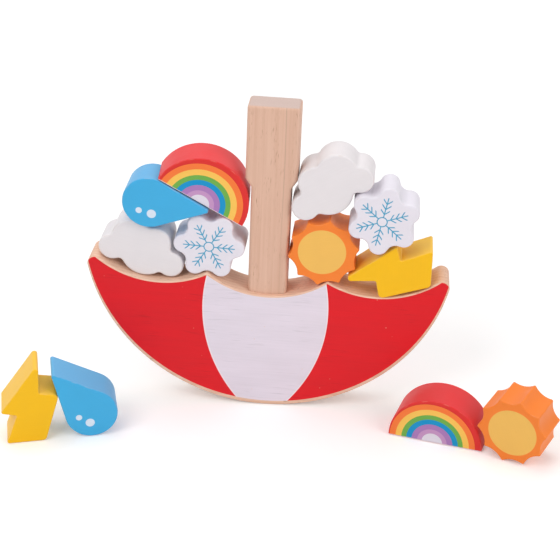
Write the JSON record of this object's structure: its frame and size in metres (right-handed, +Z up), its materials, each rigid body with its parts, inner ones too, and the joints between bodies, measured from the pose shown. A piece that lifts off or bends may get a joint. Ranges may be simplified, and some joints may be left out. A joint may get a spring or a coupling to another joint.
{
  "type": "wooden balance game",
  "caption": "Wooden balance toy: an umbrella-shaped rocker with a round underside and a post, stacked with cloud, snowflake, raindrop, rainbow, sun and lightning bolt blocks.",
  "frame": {"origin": "the point on the table under the middle of the rocker's round underside, halfway through its board", "axes": "+X along the rocker to the right, +Y to the back, +Z up"},
  "size_m": [0.355, 0.0935, 0.2086],
  "materials": {
    "red_painted_wood": "satin paint in red panels and a white middle panel, with bare wood edges",
    "bare_wood": "smooth bare wood",
    "dowel_wood": "plain wood",
    "white_painted_wood": "satin white paint",
    "printed_white_wood": "satin white paint with pale blue lines",
    "blue_painted_wood": "satin blue paint with white dots",
    "rainbow_painted_wood": "satin paint in rainbow bands",
    "orange_painted_wood": "satin orange paint with a yellow disc",
    "yellow_painted_wood": "satin yellow paint"
  },
  "bodies": {
    "rainbow_loose": {"rainbow_loose": "rainbow_painted_wood"},
    "rocker": {"rocker": "red_painted_wood", "post": "bare_wood", "left_dowel": "dowel_wood", "right_dowel": "dowel_wood"},
    "cloud_left": {"cloud_left": "white_painted_wood"},
    "snowflake_left": {"snowflake_left": "printed_white_wood"},
    "raindrop_left": {"raindrop_left": "blue_painted_wood"},
    "rainbow_left": {"rainbow_left": "rainbow_painted_wood"},
    "sun_right": {"sun_right": "orange_painted_wood"},
    "bolt_right": {"bolt_right": "yellow_painted_wood"},
    "snowflake_right": {"snowflake_right": "printed_white_wood"},
    "cloud_right": {"cloud_right": "white_painted_wood"},
    "bolt_loose": {"bolt_loose": "yellow_painted_wood"},
    "raindrop_loose": {"raindrop_loose": "blue_painted_wood"},
    "sun_loose": {"sun_loose": "orange_painted_wood"}
  },
  "joints": [
    {"name": "rocker_rock", "type": "hinge", "parent": "rainbow_loose", "child": "rocker", "pos_m": [0, 0, 0.118], "axis": [0, 1, 0], "range_deg": [-15, 15]},
    {"name": "cloud_left_pull", "type": "slide", "parent": "rocker", "child": "cloud_left", "axis": [0, -1, 0], "range_m": [0, 0.06]},
    {"name": "snowflake_left_pull", "type": "slide", "parent": "rocker", "child": "snowflake_left", "axis": [0, -1, 0], "range_m": [0, 0.06]},
    {"name": "raindrop_left_pull", "type": "slide", "parent": "rocker", "child": "raindrop_left", "axis": [0, -1, 0], "range_m": [0, 0.06]},
    {"name": "rainbow_left_pull", "type": "slide", "parent": "rocker", "child": "rainbow_left", "axis": [0, -1, 0], "range_m": [0, 0.06]},
    {"name": "sun_right_pull", "type": "slide", "parent": "rocker", "child": "sun_right", "axis": [0, -1, 0], "range_m": [0, 0.06]},
    {"name": "bolt_right_pull", "type": "slide", "parent": "rocker", "child": "bolt_right", "axis": [0, -1, 0], "range_m": [0, 0.06]},
    {"name": "snowflake_right_pull", "type": "slide", "parent": "rocker", "child": "snowflake_right", "axis": [0, -1, 0], "range_m": [0, 0.06]},
    {"name": "cloud_right_pull", "type": "slide", "parent": "rocker", "child": "cloud_right", "axis": [0, -1, 0], "range_m": [0, 0.06]},
    {"name": "bolt_loose_pull", "type": "slide", "parent": "rainbow_loose", "child": "bolt_loose", "axis": [0.2588, -0.9659, 0], "range_m": [0, 0.06]},
    {"name": "raindrop_loose_pull", "type": "slide", "parent": "rainbow_loose", "child": "raindrop_loose", "axis": [0.2588, -0.9659, 0], "range_m": [0, 0.06]},
    {"name": "sun_loose_pull", "type": "slide", "parent": "rainbow_loose", "child": "sun_loose", "axis": [0, -1, 0], "range_m": [0, 0.06]}
  ]
}
